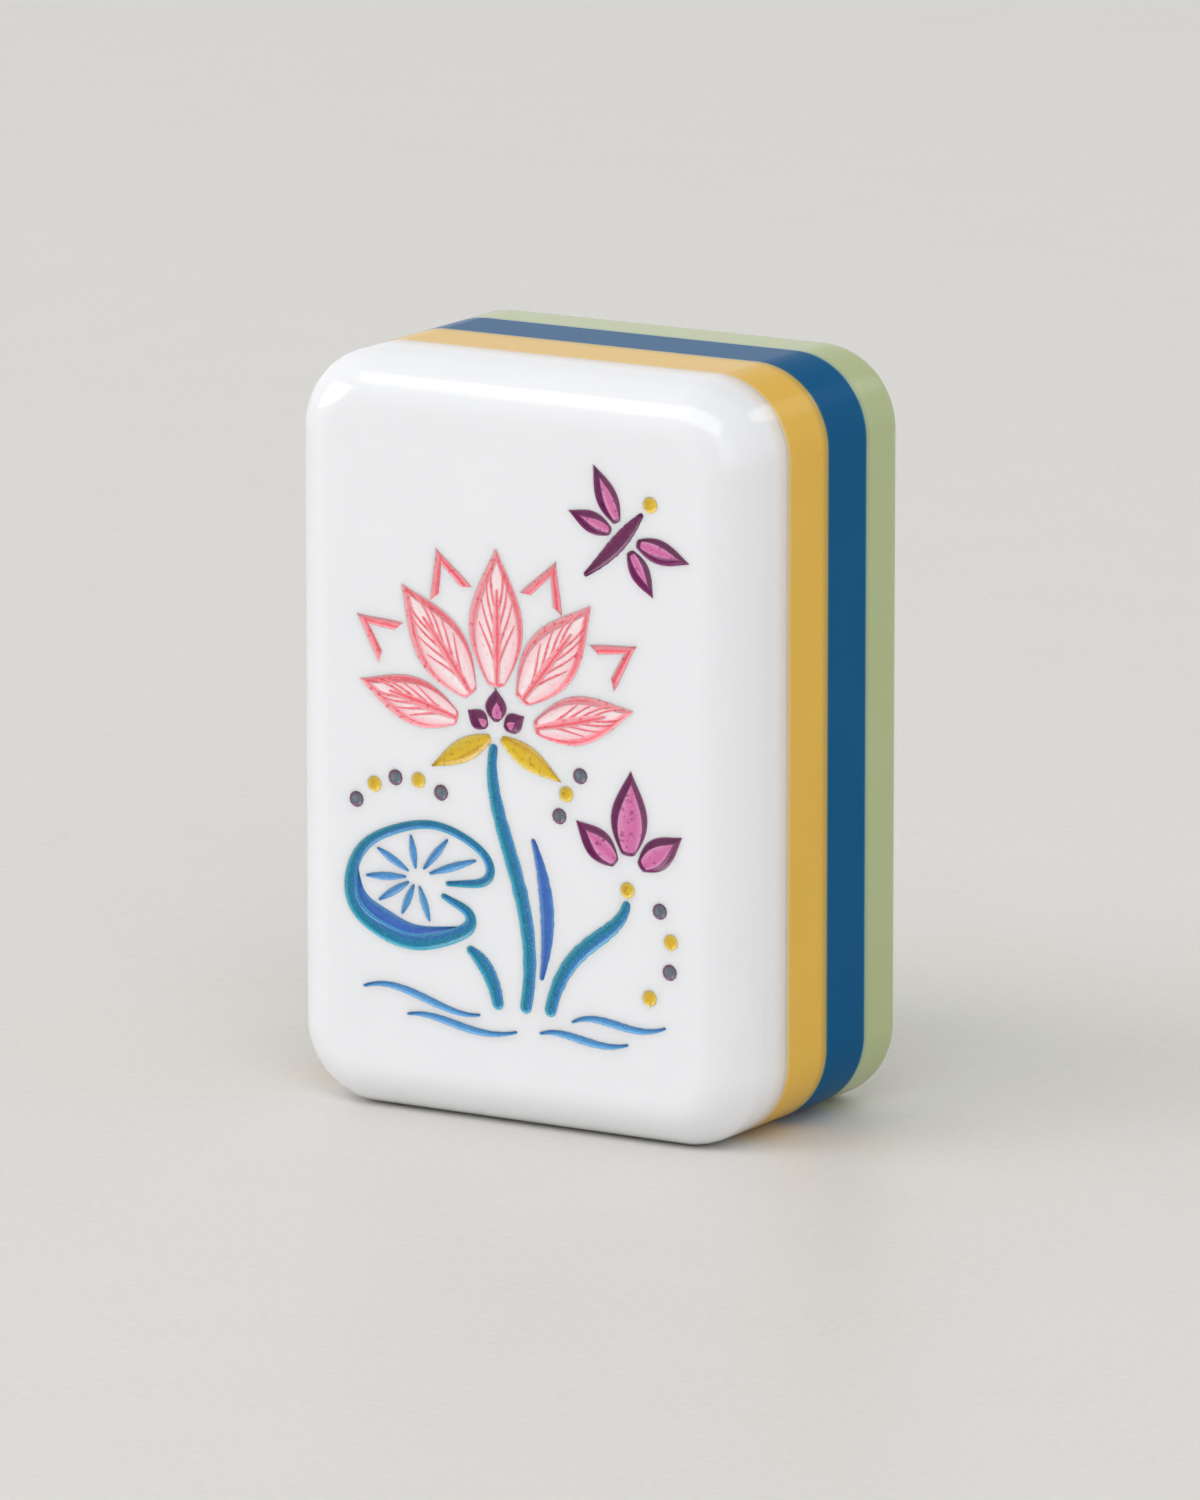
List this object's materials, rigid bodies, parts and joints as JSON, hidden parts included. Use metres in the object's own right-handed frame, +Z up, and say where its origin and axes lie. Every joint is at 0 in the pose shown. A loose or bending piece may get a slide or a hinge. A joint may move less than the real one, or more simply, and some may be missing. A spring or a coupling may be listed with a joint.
{
  "type": "mahjong tile",
  "caption": "Mahjong tile: a rounded block of bonded coloured plastic layers with a white face, engraved with a water lily picture whose grooves are filled with paint.",
  "frame": {"origin": "on the standing surface, under the middle of the tile's outline", "axes": "+Z up along the tile's height, +Y from the engraved face towards the back, +X to the right seen from the face"},
  "size_m": [0.0206, 0.0126, 0.03],
  "materials": {
    "white_acrylic": "polished",
    "amber_acrylic": "polished",
    "blue_acrylic": "polished",
    "sage_acrylic": "polished",
    "clear_adhesive": "clear cured",
    "teal_enamel": "glossy paint",
    "cobalt_enamel": "glossy paint",
    "sky_enamel": "glossy paint",
    "coral_enamel": "glossy paint",
    "blush_enamel": "glossy paint",
    "rose_enamel": "glossy paint",
    "plum_enamel": "glossy paint",
    "gold_enamel": "glossy paint",
    "slate_enamel": "glossy paint"
  },
  "bodies": {
    "root": {"face_slab": "white_acrylic", "face_bond": "clear_adhesive", "amber_layer": "amber_acrylic", "core_bond": "clear_adhesive", "blue_layer": "blue_acrylic", "back_bond": "clear_adhesive", "back_layer": "sage_acrylic", "stem_paint": "teal_enamel", "leaf_shade_paint": "cobalt_enamel", "rib_paint": "sky_enamel", "petal_line_paint": "coral_enamel", "petal_wash_paint": "blush_enamel", "bud_fill_paint": "rose_enamel", "bud_outline_paint": "plum_enamel", "sepal_paint": "gold_enamel", "bead_paint": "slate_enamel"}
  },
  "joints": []
}
